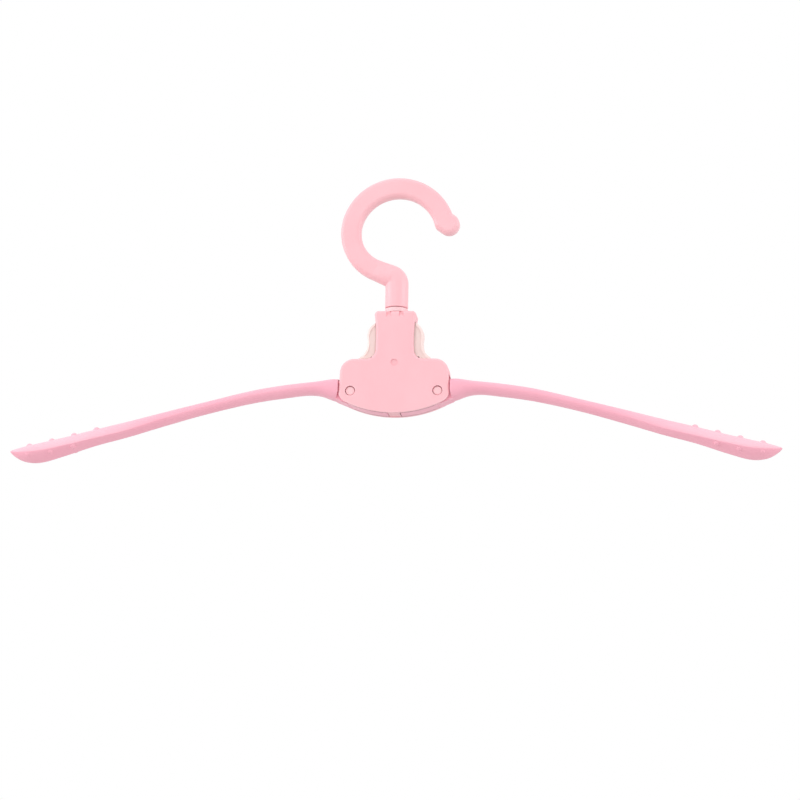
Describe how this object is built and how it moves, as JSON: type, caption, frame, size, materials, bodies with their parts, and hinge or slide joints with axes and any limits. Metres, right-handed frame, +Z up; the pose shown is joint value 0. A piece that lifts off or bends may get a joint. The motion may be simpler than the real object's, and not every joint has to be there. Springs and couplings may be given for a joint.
{
  "type": "folding travel hanger",
  "caption": "Folding clothes hanger for travel: a swivelling hook, a flat hub, drop-down arms with gripping paddle ends, and release buttons beside the neck.",
  "frame": {"origin": "the hook's inner top, on the hub's swivel axis and middle plane, where a rail touches it", "axes": "+X to the right along the open arms, +Y away from the viewer through the hub's depth, +Z up"},
  "size_m": [0.4156, 0.016, 0.1563],
  "materials": {
    "pink_plastic": "soft gloss",
    "cream_plastic": "soft gloss",
    "steel": "plain spring and screw steel"
  },
  "bodies": {
    "hook": {"hook": "pink_plastic"},
    "hub": {"front_cover": "pink_plastic", "rear_cover": "pink_plastic", "cover_screw": "steel", "right_pivot_pin": "pink_plastic", "left_pivot_pin": "pink_plastic", "swivel_collar": "pink_plastic", "button_spring": "steel"},
    "right_arm": {"right_arm": "pink_plastic"},
    "left_arm": {"left_arm": "pink_plastic"},
    "right_button": {"right_button": "cream_plastic", "right_latch_leaf": "steel"},
    "left_button": {"left_button": "cream_plastic", "left_latch_leaf": "steel"}
  },
  "joints": [
    {"name": "hub_swivel", "type": "hinge", "parent": "hook", "child": "hub", "pos_m": [0, 0, -0.0632], "axis": [0, 0, 1], "continuous": true},
    {"name": "right_arm_fold", "type": "hinge", "parent": "hub", "child": "right_arm", "pos_m": [0.0235, 0, -0.10795], "axis": [0, 1, 0], "range_deg": [0, 79], "deforming": ["right_latch_leaf"]},
    {"name": "left_arm_fold", "type": "hinge", "parent": "hub", "child": "left_arm", "pos_m": [-0.0235, 0, -0.10795], "axis": [0, -1, 0], "range_deg": [0, 79], "deforming": ["left_latch_leaf"]},
    {"name": "right_button_press", "type": "slide", "parent": "hub", "child": "right_button", "axis": [-1, 0, 0], "range_m": [0, 0.0028], "stiffness_N_per_m": 400, "springref_m": -0.002, "deforming": ["button_spring"]},
    {"name": "left_button_press", "type": "slide", "parent": "hub", "child": "left_button", "axis": [1, 0, 0], "range_m": [0, 0.0028], "stiffness_N_per_m": 400, "springref_m": -0.002, "deforming": ["button_spring"]}
  ]
}
